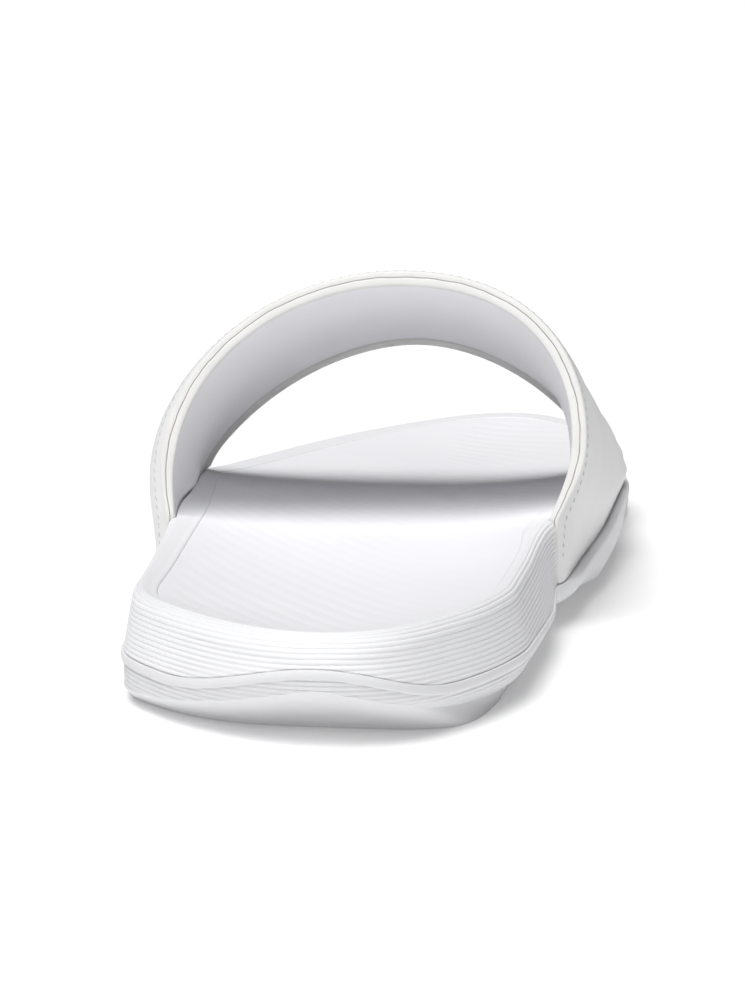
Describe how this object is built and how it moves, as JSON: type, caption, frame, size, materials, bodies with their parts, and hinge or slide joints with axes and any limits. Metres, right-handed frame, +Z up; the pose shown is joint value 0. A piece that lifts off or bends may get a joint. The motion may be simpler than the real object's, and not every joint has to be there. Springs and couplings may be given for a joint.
{
  "type": "sport slide sandal",
  "caption": "Open-heeled slide sandal with a contoured footbed, rib-sided midsole, bevelled outsole and a wide band over the instep; left shoe",
  "frame": {"origin": "middle of the flat spot under the heel, on the floor", "axes": "+X towards the medial side, +Y from heel to toe, +Z up"},
  "size_m": [0.104, 0.287, 0.0726],
  "materials": {
    "outsole": "matt white moulded foam rubber with fine side ribs",
    "midsole": "matt white moulded foam with fine side ribs and a smooth rim",
    "insole": "matt white foam with fine moulded wavy lines",
    "strap": "smooth white coated synthetic with a cream folded edge"
  },
  "bodies": {
    "root": {"outsole": "outsole", "midsole": "midsole", "insole": "insole", "strap": "strap"}
  },
  "joints": []
}
